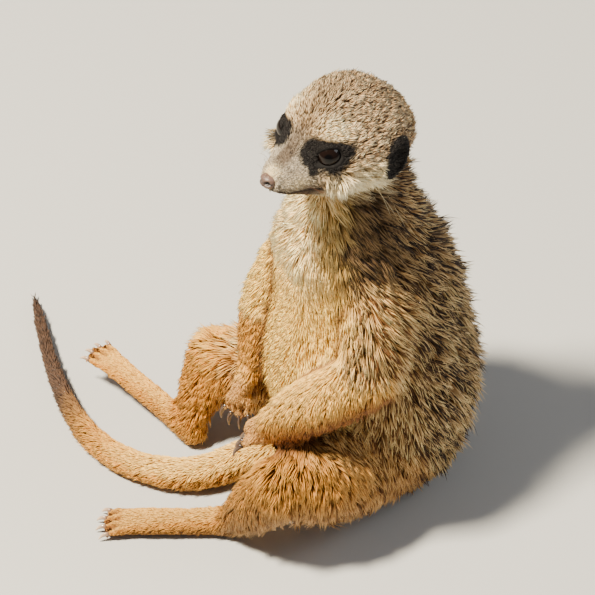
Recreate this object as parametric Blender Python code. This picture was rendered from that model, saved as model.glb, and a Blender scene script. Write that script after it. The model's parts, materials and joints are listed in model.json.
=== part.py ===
"""A life-size meerkat that sits upright on its rump, as a still museum model.

The animal faces -Y, its left side is +X and the floor is the plane z = 0, with the
origin on the floor under the rump. Each part of the body is one closed solid that
reaches to the tips of the coat. Sizes below are in millimetres; solid() turns them
into metres.
"""
import math

import bmesh
import bpy
import numpy as np
from mathutils import Euler, Matrix, Vector

MM = 0.001
GAP = 0.3             # clearance between neighbouring parts
WELD = 0.01           # points closer than this are one point

# Body, from the rump to the inside of the head.
# Each station is x, y, z, half width, half depth, turn of the section in degrees.
BODY = (
    (0, 6, -8, 24, 24, -10),
    (0, 6, 6, 34, 33, -10),
    (0, 5, 26, 43, 41, -8),
    (-2, 4, 50, 47.5, 49, -5),
    (-3, 2, 74, 46, 48.5, 0),
    (-3, 1, 95, 43, 45, 8),
    (-3, -1, 114, 41, 41.5, 14),
    (-3, -6, 132, 37.5, 37, 16),
    (-3, -9, 149, 33, 34, 12),
    (-3, -7, 161, 29, 29.5, 8),
    (-3, -8, 172, 26, 25, 4),
    (-2, -8, 184, 22, 23, 2),
)
NECK_FLOOR = 146      # height of the cut between trunk and neck

# Limbs. Each station is x, y, z, half width, half depth.
THIGHS = {
    "left": ((20, -4, 30, 24, 26), (27, -32, 36, 23, 25), (30, -56, 43, 20, 21), (28, -68, 46, 15, 16)),
    "right": ((-18, -6, 30, 24, 26), (-36, -22, 36, 21, 24), (-51, -36, 41, 18, 20), (-58, -42, 43, 14, 15)),
}
SHANKS = {
    "left": ((28, -69, 44, 15, 16), (19, -74, 31, 13, 14), (10, -77, 18, 9.5, 11), (4, -79, 9, 7, 8)),
    "right": ((-59, -43, 43, 15, 16), (-59, -50, 30, 13, 14), (-58, -58, 17, 9, 11), (-57, -61, 9, 7, 8)),
}
FEET = {
    "left": ((3, -78, 7, 7, 7.5), (-7, -92, 6, 6.5, 6.5), (-17, -106, 6, 7, 6), (-25, -116, 5, 7.5, 5)),
    "right": ((-54, -61, 7, 7, 7.5), (-73, -65, 10, 6, 6.5), (-92, -69, 13, 6, 6), (-107, -72, 15.5, 7, 4.5)),
}
UPPER_ARMS = {
    "left": ((22, -14, 128, 17, 19), (32, -20, 114, 16, 18), (36, -25, 100, 14, 16)),
    "right": ((-24, -23, 124, 14, 16), (-31, -28, 108, 12, 14), (-36, -33, 92, 11, 12)),
}
FOREARMS = {
    "left": (
        (37, -27, 97, 14, 15),
        (31, -41, 88, 13.5, 14.5),
        (22, -52, 79, 13, 14),
        (14, -59, 69, 10.5, 11),
    ),
    "right": ((-35, -35, 87, 11, 11), (-34, -39, 75, 9, 9), (-32, -43, 63, 7, 7.5), (-31, -46, 55, 6, 6.5)),
}
HANDS = {
    "left": ((14, -59, 68, 8, 8), (9, -63, 62, 8, 6.5), (4, -65.5, 57, 7.5, 5)),
    "right": ((-31, -46, 56, 6, 6), (-29, -50, 50, 7, 5), (-28, -52.5, 45, 7, 4.5)),
}
# Tail, from inside the rump. Each station is x, y, z, half height, half width.
TAIL = (
    (-4, 6, 15, 14, 14),
    (-10, -10, 13, 13, 13),
    (-17, -28, 10.7, 11, 11),
    (-24, -52, 9.4, 10, 9.5),
    (-30, -77, 8.4, 9, 8.5),
    (-54, -97, 7.4, 8, 7.5),
    (-84, -102, 6.4, 7, 6.5),
    (-128, -92, 4.9, 5.5, 5),
    (-166, -77, 3.9, 4.5, 4),
    (-180, -71, 2.7, 3, 2.5),
)
TAIL_CUTS = (0.36, 0.68)        # where the tail is parted, as shares of its length

DIGITS = 4
DIGIT_RADIUS = 2.9
DIGIT_DROP = 0.6                # how far a digit's tip lies below its root
OUTER_SHORTER = 2.0             # how much shorter the outer digits are
HIND_SPREAD = 0.3               # how far the digits of a foot fan out
FORE_SPREAD = 0.25
HIND_REACH = 8.0                # how far digits stand out of a foot
FORE_REACH = 5.5
HIND_CLAW = (7.0, 0.95)         # length and root radius
FORE_CLAW = (9.5, 1.1)
CLAW_SET_OUT = 0.8              # from the digit's tip to the root of the claw
CLAW_SAG = 0.3                  # how far a claw bends down, as a share of its length

# Head, in its own frame: x left, y back, z up, about the middle of the skull.
HEAD_PLACE = (-1.7, -8.3, 202.3)
HEAD_TURN = (-5.0, -5.0, 4.8)   # nod, tilt and turn in degrees
# Each section is y, half width, top, bottom, height of its widest line.
HEAD = (
    (-49, 4.8, -3.5, -11.5, -7),
    (-45, 7.8, -1.0, -14.0, -7),
    (-39, 10.8, 2.5, -16.5, -6),
    (-33, 14.8, 8.0, -18.5, -5),
    (-27, 19.8, 15.8, -20.5, -4),
    (-20, 23.5, 22.0, -22.0, -4),
    (-10, 26.0, 25.5, -23.0, -4),
    (0, 26.5, 25.0, -23.5, -3),
    (9, 24.0, 21.5, -22.0, -2),
    (15, 19.5, 16.0, -18.0, -1),
)
HEAD_FRONT = 2.5                # roundness of the snout past the first section
HEAD_BACK = 8.0                 # roundness of the skull past the last section
HEAD_BACK_TIP = 9.5
EYE_PLACE = (13.8, -26.2, 3.0)
EYE_RADIUS = 5.6
EAR_PLACE = (25.0, 0.0, -3.0)
EAR_SIZE = (3.6, 7.2, 10.0)     # half thickness, half length, half height
EAR_TURN = (-18, 8, 14)         # how the left ear is turned, in degrees
EAR_HOLLOW = (2.6, 5.2, 7.6)    # half sizes of the cup of the ear
HOLLOW_SHIFT = (2.6, -1.4)      # the cup's place out and back from the ear's middle
NOSE_PLACE = (0, -49.5, -6.5)
NOSE_SIZE = (4.8, 3.2, 3.8)

COLOURS = {
    "fur_grizzled": (0.30, 0.22, 0.13),
    "fur_golden": (0.55, 0.34, 0.14),
    "fur_face": (0.42, 0.35, 0.26),
    "ear_skin": (0.03, 0.025, 0.02),
    "nose_skin": (0.16, 0.09, 0.07),
    "eye": (0.02, 0.012, 0.008),
    "claw": (0.09, 0.06, 0.045),
}
ROUGHNESS = {"eye": 0.08, "nose_skin": 0.45, "claw": 0.4}
FUR_ROUGHNESS = 0.85
SPLINE_STEPS = 400              # how finely a smooth curve is followed


def clear_scene():
    """Start from an empty scene."""
    for obj in list(bpy.data.objects):
        bpy.data.objects.remove(obj, do_unlink=True)


def material(name):
    """The Principled material of one kind of surface."""
    mat = bpy.data.materials.get(name)
    if mat is None:
        mat = bpy.data.materials.new(name)
        mat.use_nodes = True
        shader = mat.node_tree.nodes["Principled BSDF"]
        shader.inputs["Base Color"].default_value = (*COLOURS[name], 1)
        shader.inputs["Roughness"].default_value = ROUGHNESS.get(name, FUR_ROUGHNESS)
        shader.inputs["Metallic"].default_value = 0.0
    return mat


def spline(stations, count):
    """Stations read at count even steps along a smooth curve through them."""
    points = np.array(stations, float)
    ends = [2 * points[0] - points[1]], [2 * points[-1] - points[-2]]
    points = np.concatenate([ends[0], points, ends[1]])
    steps = np.linalg.norm(np.diff(points[:, :3], axis=0), axis=1)
    knots = np.concatenate([[0], np.cumsum(np.sqrt(steps))])
    rows = []
    for at in np.linspace(knots[1], knots[-2], SPLINE_STEPS):
        i = min(max(np.searchsorted(knots, at) - 1, 1), len(points) - 3)
        k, p = knots[i - 1:i + 3], points[i - 1:i + 3]
        a = [((k[j + 1] - at) * p[j] + (at - k[j]) * p[j + 1]) / (k[j + 1] - k[j]) for j in range(3)]
        b = [((k[j + 2] - at) * a[j] + (at - k[j]) * a[j + 1]) / (k[j + 2] - k[j]) for j in range(2)]
        rows.append(((k[2] - at) * b[0] + (at - k[1]) * b[1]) / (k[2] - k[1]))
    rows = np.array(rows)
    run = np.concatenate([[0], np.cumsum(np.linalg.norm(np.diff(rows[:, :3], axis=0), axis=1))])
    even = np.linspace(0, run[-1], count)
    return np.stack([np.interp(even, run, rows[:, c]) for c in range(rows.shape[1])], axis=1)


def skin_rings(rings, first_pole, last_pole):
    """A closed mesh over a stack of rings, with a point at each end."""
    mesh = bmesh.new()
    loops = [[mesh.verts.new(p) for p in ring] for ring in rings]
    poles = [mesh.verts.new(first_pole), mesh.verts.new(last_pole)]
    sides = len(loops[0])
    for low, high in zip(loops, loops[1:]):
        for i in range(sides):
            j = (i + 1) % sides
            mesh.faces.new((low[i], low[j], high[j], high[i]))
    for i in range(sides):
        j = (i + 1) % sides
        mesh.faces.new((poles[0], loops[0][j], loops[0][i]))
        mesh.faces.new((poles[1], loops[-1][i], loops[-1][j]))
    bmesh.ops.recalc_face_normals(mesh, faces=mesh.faces)
    return mesh


def sideways(stations):
    """The level direction square to the way from first station to last."""
    way = Vector(stations[-1][:3]) - Vector(stations[0][:3])
    return Vector((0, 0, 1)).cross(way).normalized()


def limb(stations, sides, count, across=None, cap=0.9, cap_rings=2):
    """A round-ended limb along its stations; across sets which way its width lies."""
    across = Vector(across) if across else sideways(stations)
    rows = spline(stations, count)
    centres = rows[:, :3]
    tangents = np.gradient(centres, axis=0)
    tangents /= np.linalg.norm(tangents, axis=1)[:, None]
    rings = []

    def ring(centre, tangent, half_width, half_depth, turn):
        tangent = Vector(tangent)
        side = Matrix.Rotation(math.radians(turn), 3, "Z") @ across
        side = (side - side.dot(tangent) * tangent).normalized()
        front = tangent.cross(side)
        angles = [2 * math.pi * i / sides for i in range(sides)]
        wide, deep = float(half_width), float(half_depth)
        return [Vector(centre) + side * (wide * math.cos(a)) + front * (deep * math.sin(a)) for a in angles]

    def cap_row(row, tangent, sign):
        reach = cap * min(row[3], row[4])
        turn = row[5] if len(row) > 5 else 0
        steps = [math.pi / 2 * (j + 1) / (cap_rings + 1) for j in range(cap_rings)]
        made = []
        for step in steps:
            centre = row[:3] + sign * reach * math.sin(step) * tangent
            shrink = math.cos(step)
            made.append(ring(centre, tangent, row[3] * shrink, row[4] * shrink, turn))
        return made, Vector(row[:3] + sign * reach * tangent)

    start, first = cap_row(rows[0], tangents[0], -1)
    end, last = cap_row(rows[-1], tangents[-1], 1)
    rings.extend(reversed(start))
    for row, tangent in zip(rows, tangents):
        rings.append(ring(row[:3], tangent, row[3], row[4], row[5] if len(row) > 5 else 0))
    rings.extend(end)
    return skin_rings(rings, first, last)


def ellipsoid(centre, size, turn=(0, 0, 0), across=14, along=9):
    """A ball stretched to three half sizes and turned."""
    mesh = bmesh.new()
    bmesh.ops.create_uvsphere(mesh, u_segments=across, v_segments=along, radius=1)
    spin = Euler([math.radians(a) for a in turn]).to_matrix().to_4x4()
    place = Matrix.Translation(centre) @ spin @ Matrix.Diagonal((*size, 1))
    bmesh.ops.transform(mesh, matrix=place, verts=mesh.verts)
    return mesh


def solid(name, mesh, kind):
    """A named object in metres from a mesh in millimetres."""
    data = bpy.data.meshes.new(name)
    bmesh.ops.triangulate(mesh, faces=mesh.faces)
    mesh.to_mesh(data)
    mesh.free()
    data.transform(Matrix.Scale(MM, 4))
    data.materials.append(material(kind))
    obj = bpy.data.objects.new(name, data)
    bpy.context.scene.collection.objects.link(obj)
    data.shade_smooth()
    return obj


def grown(obj, amount):
    """A helper copy of a solid whose surface stands out by an amount."""
    mesh = bmesh.new()
    mesh.from_mesh(obj.data)
    mesh.normal_update()
    for vert in mesh.verts:
        vert.co += vert.normal * vert.calc_shell_factor() * amount * MM
    data = bpy.data.meshes.new("grown")
    mesh.to_mesh(data)
    mesh.free()
    helper = bpy.data.objects.new("grown", data)
    bpy.context.scene.collection.objects.link(helper)
    helper.hide_render = True
    helper.display_type = "WIRE"
    return helper


def boolean(obj, helper, operation):
    """Apply one exact Boolean to a solid and remove the helper."""
    modifier = obj.modifiers.new("carve", "BOOLEAN")
    modifier.operation = operation
    modifier.solver = "EXACT"
    modifier.object = helper
    bpy.context.view_layer.update()
    made = bpy.data.meshes.new_from_object(obj.evaluated_get(bpy.context.evaluated_depsgraph_get()))
    obj.modifiers.clear()
    obj.data = made
    bpy.data.objects.remove(helper, do_unlink=True)
    tidy(obj)


def tidy(obj):
    """Weld stray points and keep only the biggest body of a solid."""
    mesh = bmesh.new()
    mesh.from_mesh(obj.data)
    bmesh.ops.remove_doubles(mesh, verts=mesh.verts, dist=WELD * MM)
    bmesh.ops.dissolve_degenerate(mesh, edges=mesh.edges, dist=WELD * MM)
    bmesh.ops.triangulate(mesh, faces=mesh.faces)
    left = set(mesh.verts)
    islands = []
    while left:
        island = []
        front = [left.pop()]
        while front:
            vert = front.pop()
            island.append(vert)
            for edge in vert.link_edges:
                other = edge.other_vert(vert)
                if other in left:
                    left.remove(other)
                    front.append(other)
        islands.append(island)
    islands.sort(key=len)
    for island in islands[:-1]:
        bmesh.ops.delete(mesh, geom=island, context="VERTS")
    mesh.to_mesh(obj.data)
    mesh.free()


def carve(obj, *neighbours):
    """Cut a solid back from its neighbours, with the gap between."""
    for neighbour in neighbours:
        boolean(obj, grown(neighbour, GAP), "DIFFERENCE")


def cut(obj, point, normal):
    """Keep the side of a plane that its normal points to, and close the cut."""
    mesh = bmesh.new()
    mesh.from_mesh(obj.data)
    everything = mesh.verts[:] + mesh.edges[:] + mesh.faces[:]
    bmesh.ops.bisect_plane(mesh, geom=everything, plane_co=Vector(point) * MM, plane_no=normal,
                           dist=WELD * MM / 10, clear_inner=True)
    rim = [edge for edge in mesh.edges if edge.is_boundary]
    bmesh.ops.holes_fill(mesh, edges=rim, sides=0)
    bmesh.ops.triangulate(mesh, faces=mesh.faces)
    bmesh.ops.recalc_face_normals(mesh, faces=mesh.faces)
    mesh.to_mesh(obj.data)
    mesh.free()
    tidy(obj)


def stand_on_floor(obj):
    """Flatten what would reach under the floor."""
    if min(vert.co.z for vert in obj.data.vertices) < 0:
        cut(obj, (0, 0, 0), (0, 0, 1))


def head_frame():
    """From the head's own frame to the body's, in millimetres."""
    nod, tilt, turn = (math.radians(a) for a in HEAD_TURN)
    spin = Matrix.Rotation(turn, 4, "Z") @ Matrix.Rotation(nod, 4, "X") @ Matrix.Rotation(tilt, 4, "Y")
    return Matrix.Translation(HEAD_PLACE) @ spin


def head_mesh(sides=24, count=15):
    """The head's sections, each an oval with its own top, bottom and widest line."""
    rows = spline([(0, y, 0, half, top, low, wide) for y, half, top, low, wide in HEAD], count)
    rings = []

    def section(y, half, top, low, wide, shrink):
        ring = []
        for i in range(sides):
            angle = 2 * math.pi * i / sides
            height = top - wide if math.sin(angle) > 0 else wide - low
            across, up = half * shrink * math.cos(angle), height * shrink * math.sin(angle)
            ring.append(Vector((across, y, wide + up)))
        return ring

    for _x, y, _z, half, top, low, wide in rows:
        rings.append(section(y, half, top, low, wide, 1))
    _x, y, _z, half, top, low, wide = rows[-1]
    for step in (0.35, 0.7, 1.0):
        rings.append(section(y + HEAD_BACK * step, half, top, low, wide, math.cos(step * math.pi / 2.6)))
    first = Vector((0, rows[0][1] - HEAD_FRONT, rows[0][6]))
    last = Vector((0, y + HEAD_BACK_TIP, wide))
    return skin_rings(rings, first, last)


def placed(mesh, frame):
    """A mesh moved by a matrix."""
    bmesh.ops.transform(mesh, matrix=frame, verts=mesh.verts)
    return mesh


def make_trunk_and_neck():
    """The body in one loft, parted between trunk and neck."""
    trunk = solid("trunk", limb(BODY, 24, 16, across=(1, 0, 0), cap=0.5), "fur_grizzled")
    neck = trunk.copy()
    neck.data = trunk.data.copy()
    neck.name = "neck"
    bpy.context.scene.collection.objects.link(neck)
    cut(trunk, (0, 0, NECK_FLOOR - GAP / 2), (0, 0, -1))
    cut(neck, (0, 0, NECK_FLOOR + GAP / 2), (0, 0, 1))
    stand_on_floor(trunk)
    return trunk, neck


def make_head():
    """Head with its eyes, ears and nose pad."""
    frame = head_frame()
    head = solid("head", placed(head_mesh(), frame), "fur_face")
    nose = solid("nose", placed(ellipsoid(NOSE_PLACE, NOSE_SIZE, across=10, along=7), frame), "nose_skin")
    carve(head, nose)
    for side, sign in (("left", 1), ("right", -1)):
        x, y, z = EYE_PLACE
        ball = ellipsoid((sign * x, y, z), (EYE_RADIUS,) * 3, across=12, along=8)
        carve(head, solid("eye_" + side, placed(ball, frame), "eye"))
    for side, sign in (("left", 1), ("right", -1)):
        x, y, z = EAR_PLACE
        turn = (EAR_TURN[0], sign * EAR_TURN[1], sign * EAR_TURN[2])
        shell = ellipsoid((sign * x, y, z), EAR_SIZE, turn, across=11, along=7)
        ear = solid("ear_" + side, placed(shell, frame), "ear_skin")
        centre = (sign * (x + HOLLOW_SHIFT[0]), y + HOLLOW_SHIFT[1], z)
        hollow = ellipsoid(centre, EAR_HOLLOW, turn, across=9, along=6)
        boolean(ear, solid("hollow", placed(hollow, frame), "ear_skin"), "DIFFERENCE")
        carve(ear, head)
    return head


def path_end(stations):
    """Last point of a limb and the way it points."""
    last, before = (np.array(s[:3], float) for s in (stations[-1], stations[-2]))
    way = last - before
    return last, way / np.linalg.norm(way)


def make_digits(paw, name, stations, spread, reach, claw):
    """Four digits joined to a foot or hand, and a claw of its own on each."""
    end, way = path_end(stations)
    across = np.array(sideways(stations))
    down = np.cross(way, across)
    down *= -np.sign(down[2])
    length, radius = claw
    kind = paw.data.materials[0].name
    claws = []
    for i in range(DIGITS):
        place = 2 * i / (DIGITS - 1) - 1
        root = end + across * place * (stations[-1][3] - DIGIT_RADIUS)
        ahead = way + across * place * spread
        ahead /= np.linalg.norm(ahead)
        tip = root + ahead * (reach - OUTER_SHORTER * abs(place)) + down * DIGIT_DROP
        thin = DIGIT_RADIUS * 0.8
        rows = (*root, DIGIT_RADIUS, DIGIT_RADIUS), (*tip, thin, thin)
        boolean(paw, solid("digit", limb(rows, 6, 2, tuple(across), cap_rings=1), kind), "UNION")
        rows = []
        for share in (0, 0.5, 1):
            run = tip + ahead * (CLAW_SET_OUT + share * length) + down * length * CLAW_SAG * share ** 2
            thin = radius * (1 - 0.75 * share)
            rows.append((*run, thin, thin * 1.3))
        claws.append(solid(f"claw_{name}_{i + 1}", limb(rows, 5, 3, tuple(across), cap_rings=0), "claw"))
    for piece in claws:
        carve(piece, paw)
        stand_on_floor(piece)


def make_leg(side, trunk):
    """Thigh, shank and foot of one side, with the digits and claws."""
    thigh = solid("thigh_" + side, limb(THIGHS[side], 14, 6, across=(1, 0, 0)), "fur_golden")
    shank = solid("shank_" + side, limb(SHANKS[side], 12, 6, across=(0, 1, 0)), "fur_golden")
    foot = solid("foot_" + side, limb(FEET[side], 10, 6), "fur_golden")
    carve(thigh, trunk)
    carve(shank, thigh, trunk)
    carve(foot, shank)
    make_digits(foot, "hind_" + side, FEET[side], HIND_SPREAD, HIND_REACH, HIND_CLAW)
    for obj in (thigh, shank, foot):
        stand_on_floor(obj)
    return thigh, shank, foot


def make_arm(side, trunk, neck, leg):
    """Upper arm, forearm and hand of one side, with the digits and claws."""
    upper = solid("upper_arm_" + side, limb(UPPER_ARMS[side], 13, 5, across=(1, 0, 0)), "fur_golden")
    fore = solid("forearm_" + side, limb(FOREARMS[side], 12, 6, across=(0, 0, 1)), "fur_golden")
    hand = solid("hand_" + side, limb(HANDS[side], 9, 3, across=(0, 0, 1)), "fur_golden")
    carve(upper, trunk, neck)
    carve(fore, upper, trunk, leg[0])
    carve(hand, fore, trunk, leg[0], leg[1])
    make_digits(hand, "fore_" + side, HANDS[side], FORE_SPREAD, FORE_REACH, FORE_CLAW)


def make_tail(neighbours):
    """The tail in three lengths, the first cut back from its neighbours."""
    rows = spline(TAIL, 26)
    run = np.concatenate([[0], np.cumsum(np.linalg.norm(np.diff(rows[:, :3], axis=0), axis=1))])
    whole = solid("tail_base", limb(TAIL, 11, 24, across=(0, 0, 1)), "fur_golden")
    stand_on_floor(whole)
    lengths = []
    bounds = (0, *TAIL_CUTS, 1)
    for name, low, high in zip(("tail_base", "tail_middle", "tail_tip"), bounds, bounds[1:]):
        piece = whole.copy()
        piece.data = whole.data.copy()
        bpy.context.scene.collection.objects.link(piece)
        for share, sign in ((low, 1), (high, -1)):
            if 0 < share < 1:
                at = np.array([np.interp(share * run[-1], run, rows[:, c]) for c in range(3)])
                ahead = np.array([np.interp(share * run[-1] + 1, run, rows[:, c]) for c in range(3)])
                way = (ahead - at) / np.linalg.norm(ahead - at) * sign
                cut(piece, at + way * GAP / 2, way)
        lengths.append((name, piece))
    bpy.data.objects.remove(whole, do_unlink=True)
    for name, piece in lengths:
        piece.name = name
    carve(lengths[0][1], *neighbours)


def main():
    """Build the whole animal."""
    clear_scene()
    trunk, neck = make_trunk_and_neck()
    head = make_head()
    carve(neck, head)
    legs = [make_leg(side, trunk) for side in ("left", "right")]
    for side, leg in zip(("left", "right"), legs):
        make_arm(side, trunk, neck, leg)
    make_tail([trunk, *legs[0][:2], *legs[1][:2]])


main()
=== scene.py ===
import heapq
import json
import math

import bmesh
import bpy
import numpy as np
from mathutils import Matrix, Vector
from mathutils.bvhtree import BVHTree
from mathutils.kdtree import KDTree

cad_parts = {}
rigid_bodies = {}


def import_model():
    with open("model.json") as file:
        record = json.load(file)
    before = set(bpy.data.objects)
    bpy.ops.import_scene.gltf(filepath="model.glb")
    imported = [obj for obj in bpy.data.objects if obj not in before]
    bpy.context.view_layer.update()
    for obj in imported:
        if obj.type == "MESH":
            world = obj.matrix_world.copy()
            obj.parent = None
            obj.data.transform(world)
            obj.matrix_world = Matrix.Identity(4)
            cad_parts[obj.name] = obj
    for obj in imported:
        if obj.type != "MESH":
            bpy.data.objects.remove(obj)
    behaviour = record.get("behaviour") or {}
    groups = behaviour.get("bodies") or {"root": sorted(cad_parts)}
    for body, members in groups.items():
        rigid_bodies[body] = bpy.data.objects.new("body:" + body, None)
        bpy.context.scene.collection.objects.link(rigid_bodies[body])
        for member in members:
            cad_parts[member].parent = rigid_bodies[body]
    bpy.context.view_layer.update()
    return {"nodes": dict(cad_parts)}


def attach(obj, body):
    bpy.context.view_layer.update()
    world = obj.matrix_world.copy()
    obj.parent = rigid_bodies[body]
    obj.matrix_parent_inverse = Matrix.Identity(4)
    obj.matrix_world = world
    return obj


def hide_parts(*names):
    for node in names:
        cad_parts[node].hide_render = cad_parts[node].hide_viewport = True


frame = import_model()

# ---------------------------------------------------------------- camera, floor and light
# A long lens from above the animal's left front, a pale studio floor, one soft lamp high
# in front and a weaker one behind, under an even pale sky.
MM = 0.001
AIM = Vector((-60.0, 2.0, 53.9)) * MM
AZIMUTH = math.radians(55)
ELEVATION = math.radians(43)
DISTANCE = 1.5
PIXELS_PER_METRE = 2150
FRAME_PIXELS = 595
SENSOR_WIDTH = 36
FLOOR_SIDE = 16
FLOOR_DROP = 0.0002            # keeps the floor clear of what stands on it

back = Vector((math.sin(AZIMUTH) * math.cos(ELEVATION), -math.cos(AZIMUTH) * math.cos(ELEVATION),
               math.sin(ELEVATION)))
camera = bpy.data.objects.new("camera", bpy.data.cameras.new("camera"))
bpy.context.scene.collection.objects.link(camera)
camera.data.sensor_width = SENSOR_WIDTH
camera.data.lens = SENSOR_WIDTH * PIXELS_PER_METRE * DISTANCE / FRAME_PIXELS
camera.location = AIM + back * DISTANCE
camera.rotation_mode = "QUATERNION"
camera.rotation_quaternion = (-back).to_track_quat("-Z", "Y")
camera.data.clip_start = 0.01
bpy.context.scene.camera = camera


def clear_selection():
    """Nothing selected and no object active."""
    for obj in bpy.context.view_layer.objects:
        obj.select_set(False)
    bpy.context.view_layer.objects.active = None


def make_material(name, colour, roughness):
    """A Principled material, its node tree and its shader."""
    material = bpy.data.materials.new(name)
    material.use_nodes = True
    shader = material.node_tree.nodes["Principled BSDF"]
    shader.inputs["Base Color"].default_value = (*colour, 1)
    shader.inputs["Roughness"].default_value = roughness
    return material, material.node_tree, shader


clear_selection()
bpy.ops.mesh.primitive_plane_add(size=FLOOR_SIDE, location=(0, 0, -FLOOR_DROP))
floor = bpy.context.object
floor.name = "floor"
floor.data.materials.append(make_material("floor_paper", (0.44, 0.43, 0.41), roughness=0.9)[0])


def soft_lamp(name, place, size, power, colour):
    """A square lamp that faces the animal."""
    lamp = bpy.data.lights.new(name, "AREA")
    lamp.size = size
    lamp.energy = power
    lamp.color = colour
    obj = bpy.data.objects.new(name, lamp)
    bpy.context.scene.collection.objects.link(obj)
    obj.location = place
    obj.rotation_mode = "QUATERNION"
    obj.rotation_quaternion = (Vector(place) - AIM).to_track_quat("Z", "Y")


soft_lamp("key_lamp", (-0.28, -0.98, 1.9), size=0.28, power=205, colour=(1.0, 0.91, 0.73))
soft_lamp("rim_lamp", (0.9, 1.2, 1.3), size=0.9, power=12, colour=(0.95, 0.97, 1.0))
world = bpy.data.worlds.new("studio")
world.use_nodes = True
world.node_tree.nodes["Background"].inputs["Color"].default_value = (0.97, 0.98, 1.0, 1)
world.node_tree.nodes["Background"].inputs["Strength"].default_value = 0.25
bpy.context.scene.world = world

# ---------------------------------------------------------------- hide
# The tanned hide, in one piece without seams from the nose to the tail's tip, drawn over
# the form and glued down. It lies inside the solids by the depth of the coat, and brows,
# lids, lip line, ear cups and toes are worked into it.
HARD_PARTS = ("eye", "claw", "nose")
VOXEL = 1.35 * MM
JOIN_GROWTH = 0.35 * MM        # closes the cuts between the solids
flesh = sorted(name for name in frame["nodes"] if not name.startswith(HARD_PARTS))
padded_out = flesh + sorted(name for name in frame["nodes"] if name.startswith(("eye", "nose")))

HEAD_PLACE = Vector((-1.7, -8.3, 202.3)) * MM
NOD, TILT, TURN = (math.radians(a) for a in (-5.0, -5.0, 4.8))
HEAD_SPIN = (Matrix.Rotation(TURN, 3, "Z") @ Matrix.Rotation(NOD, 3, "X") @ Matrix.Rotation(TILT, 3, "Y"))
spin = np.array(HEAD_SPIN)


def in_head(points):
    """Points in the head's own frame in millimetres: x left, y back, z up."""
    return (points - np.array(HEAD_PLACE)) @ spin / MM


def from_head(point):
    """A place in the head's own frame, in millimetres, as a place in the room."""
    return HEAD_PLACE + HEAD_SPIN @ (Vector(point) * MM)


def step(value, low, high):
    """A soft step from 0 at low to 1 at high."""
    share = np.clip((value - low) / (high - low), 0, 1)
    return share * share * (3 - 2 * share)


def unit(vectors):
    """The rows of an array made unit length."""
    return vectors / np.maximum(np.linalg.norm(vectors, axis=1), 1e-12)[:, None]


PAWS = ("fore_left", "fore_right", "hind_left", "hind_right")
TOES = {"fore": (1.8, 1.45, 2.2), "hind": (2.2, 1.7, 3.2)}   # root and tip radius, reach
TOE_ROOT = 4.5                 # how far inside the paw a toe begins
TOE_SIDES = 12


def claw_line(node_name):
    """Where a claw of the solids leaves its toe and where it ends."""
    corners = np.array([v.co[:] for v in frame["nodes"][node_name].data.vertices])
    middle = corners.mean(axis=0)
    along = np.linalg.svd(corners - middle)[2][0]
    reach = (corners - middle) @ along
    limb, side_name = node_name.split("_")[1:3]
    paw = frame["nodes"][("hand_" if limb == "fore" else "foot_") + side_name]
    paw_middle = np.array([v.co[:] for v in paw.data.vertices]).mean(axis=0)
    if (paw_middle - middle) @ along > 0:
        along, reach = -along, -reach
    return middle + along * reach.min(), middle + along * reach.max()


claw_lines = {paw: np.array([claw_line(f"claw_{paw}_{i}") for i in (1, 2, 3, 4)]) for paw in PAWS}


def toe(shape, line, root_width, tip_width, reach):
    """A round toe that reaches past the end of the foot, over the root of its claw."""
    along_toe = Vector(unit((line[1] - line[0])[None])[0])
    low, high = Vector(line[0]) - along_toe * TOE_ROOT * MM, Vector(line[0]) + along_toe * reach * MM
    placing = along_toe.to_track_quat("Z", "Y").to_matrix().to_4x4()
    placing.translation = (low + high) / 2
    bmesh.ops.create_cone(shape, cap_ends=True, segments=TOE_SIDES, radius1=root_width * MM,
                          radius2=tip_width * MM, depth=(high - low).length, matrix=placing)


whole = bmesh.new()
for name in padded_out:
    piece = bmesh.new()
    piece.from_mesh(frame["nodes"][name].data)
    bmesh.ops.remove_doubles(piece, verts=piece.verts, dist=0.001 * MM)
    piece.normal_update()
    for vert in piece.verts:
        vert.co += vert.normal * JOIN_GROWTH
    scrap = bpy.data.meshes.new("scrap")
    piece.to_mesh(scrap)
    piece.free()
    whole.from_mesh(scrap)
    bpy.data.meshes.remove(scrap)
for paw, lines in claw_lines.items():
    for line in lines:
        toe(whole, line, *TOES[paw[:4]])
skin_mesh = bpy.data.meshes.new("skin")
whole.to_mesh(skin_mesh)
whole.free()
skin = bpy.data.objects.new("skin", skin_mesh)
bpy.context.scene.collection.objects.link(skin)
clear_selection()
skin.select_set(True)
bpy.context.view_layer.objects.active = skin
remesh = skin.modifiers.new("remesh", "REMESH")
remesh.mode = "VOXEL"
remesh.voxel_size = VOXEL
bpy.ops.object.modifier_apply(modifier=remesh.name)

# The face is cut finer than the rest, and the eyes finer again, so that lids and lips hold.
EYE_CENTRE = (12.9, -26.3, 3.9)
EYE_BALL = 5.6
EYE_FINE = 9.5                 # how far round an eye and a toe the mesh is finer
TOE_FINE = 7.5
EAR_CENTRE = (25.0, 0.0, -3.0)
EAR_FINE = (5, 11, 13)
FACE_BACK = -22                # the face lies before this, between these heights
FACE_HEIGHTS = (-24, 14)


def refine(mesh, near):
    """Cut every edge in two where both its ends are chosen by a function of their places."""
    cut = bmesh.new()
    cut.from_mesh(mesh)
    cut.verts.ensure_lookup_table()
    chosen = near(in_head(np.array([v.co[:] for v in cut.verts])))
    edges = [e for e in cut.edges if chosen[e.verts[0].index] and chosen[e.verts[1].index]]
    bmesh.ops.subdivide_edges(cut, edges=edges, cuts=1, use_grid_fill=True)
    cut.to_mesh(mesh)
    cut.free()


def mirror(where):
    """Places in the head's frame folded over to the animal's left side."""
    return where * np.where(where[:, :1] < 0, (-1, 1, 1), (1, 1, 1))


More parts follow.
